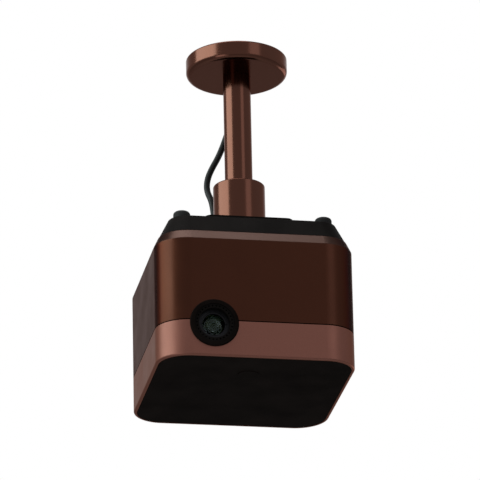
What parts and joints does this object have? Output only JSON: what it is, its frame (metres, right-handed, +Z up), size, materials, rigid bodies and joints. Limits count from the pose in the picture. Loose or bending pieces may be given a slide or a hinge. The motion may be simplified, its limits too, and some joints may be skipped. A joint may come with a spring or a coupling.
{
  "type": "projection night light",
  "caption": "Ceiling-hung projection night light: a bronze cube with a focusing lens on its front, carried feet up on a swivel stem from a round flange.",
  "frame": {"origin": "middle of the ceiling plate's upper face, on the stem's axis", "axes": "+Z up into the ceiling along the stem, the lens looks along -Y, +X on the viewer's right"},
  "size_m": [0.11, 0.1132, 0.1998],
  "materials": {
    "bronze_paint": "glossy metallic brown",
    "dark_bronze_case": "dark metallic brown lacquer",
    "rose_bronze_band": "satin rose bronze lacquer",
    "gloss_black": "gloss",
    "black_plastic": "fine moulded grain",
    "black_rubber": "matt",
    "lead_sheath": "smooth",
    "steel": "zinc plated",
    "brass": "turned",
    "aluminium": "satin",
    "black_anodised": "black anodised",
    "lens_glass": "coated",
    "circuit_board": "solder mask",
    "white_plastic": "moulded",
    "led_phosphor": "clear dome",
    "slide_film": "printed film",
    "coil_core": "ferrite"
  },
  "bodies": {
    "ceiling_mount": {"ceiling_plate": "steel", "flange_cover": "bronze_paint", "stem_tube": "bronze_paint", "stem_grommet": "black_rubber", "lead_connector": "black_plastic", "swivel_plug": "steel", "plug_pin": "steel", "power_lead": "lead_sheath"},
    "projector_head": {"swivel_collar": "bronze_paint", "friction_washers": "white_plastic", "disc_spring": "steel", "collar_base": "aluminium", "mount_stud": "steel", "base_insert": "brass", "base_plinth": "black_plastic", "rubber_feet": "black_rubber", "case_screws": "steel", "lead_relief": "black_rubber", "upper_housing": "dark_bronze_case", "lower_band": "rose_bronze_band", "bottom_panel": "gloss_black", "rear_grille": "black_plastic", "lens_bezel": "gloss_black", "optics_tube": "black_plastic", "optics_screws": "steel", "slide_holder": "black_plastic", "picture_slide": "slide_film", "slide_retainer": "black_plastic", "lens_spacer": "black_plastic", "condenser_lens": "lens_glass", "condenser_retainer": "black_plastic", "led_board": "aluminium", "led_emitter": "led_phosphor", "heat_sink": "aluminium", "fan_frame": "black_plastic", "fan_screws": "steel", "driver_board": "circuit_board", "board_screws": "steel", "capacitors": "aluminium", "power_coil": "coil_core", "driver_chip": "black_plastic", "wire_terminals": "white_plastic", "inner_wires": "lead_sheath", "lead_socket": "white_plastic", "lead_plug": "black_plastic", "tact_switch": "black_plastic", "switch_board": "circuit_board", "switch_screws": "steel"},
    "focus_ring": {"focus_ring": "black_plastic"},
    "lens_carrier": {"lens_cell": "black_anodised", "front_lens": "lens_glass", "rear_lens": "lens_glass", "lens_retainers": "black_anodised"},
    "fan_rotor": {"fan_rotor": "black_plastic"},
    "power_button": {"power_button": "gloss_black", "switch_plunger": "white_plastic"}
  },
  "joints": [
    {"name": "pan_swivel", "type": "hinge", "parent": "ceiling_mount", "child": "projector_head", "pos_m": [0, 0, -0.0775], "axis": [0, 0, 1], "range_deg": [-60, 60], "deforming": ["power_lead"]},
    {"name": "focus_turn", "type": "hinge", "parent": "projector_head", "child": "focus_ring", "pos_m": [-0.025, -0.056, -0.1808], "axis": [0, -1, 0], "range_deg": [-60, 60]},
    {"name": "focus_travel", "type": "slide", "parent": "projector_head", "child": "lens_carrier", "axis": [0, -1, 0], "range_m": [-0.0015, 0.0015]},
    {"name": "fan_spin", "type": "hinge", "parent": "projector_head", "child": "fan_rotor", "pos_m": [-0.0192, 0.047, -0.158], "axis": [0, 1, 0], "continuous": true},
    {"name": "button_press", "type": "slide", "parent": "projector_head", "child": "power_button", "axis": [0, 0, 1], "range_m": [0, 0.0008], "stiffness_N_per_m": 1500, "springref_m": -0.0005}
  ],
  "couplings": [
    {"joint": "focus_turn", "follows": "focus_travel", "rad_per_m": 698}
  ]
}
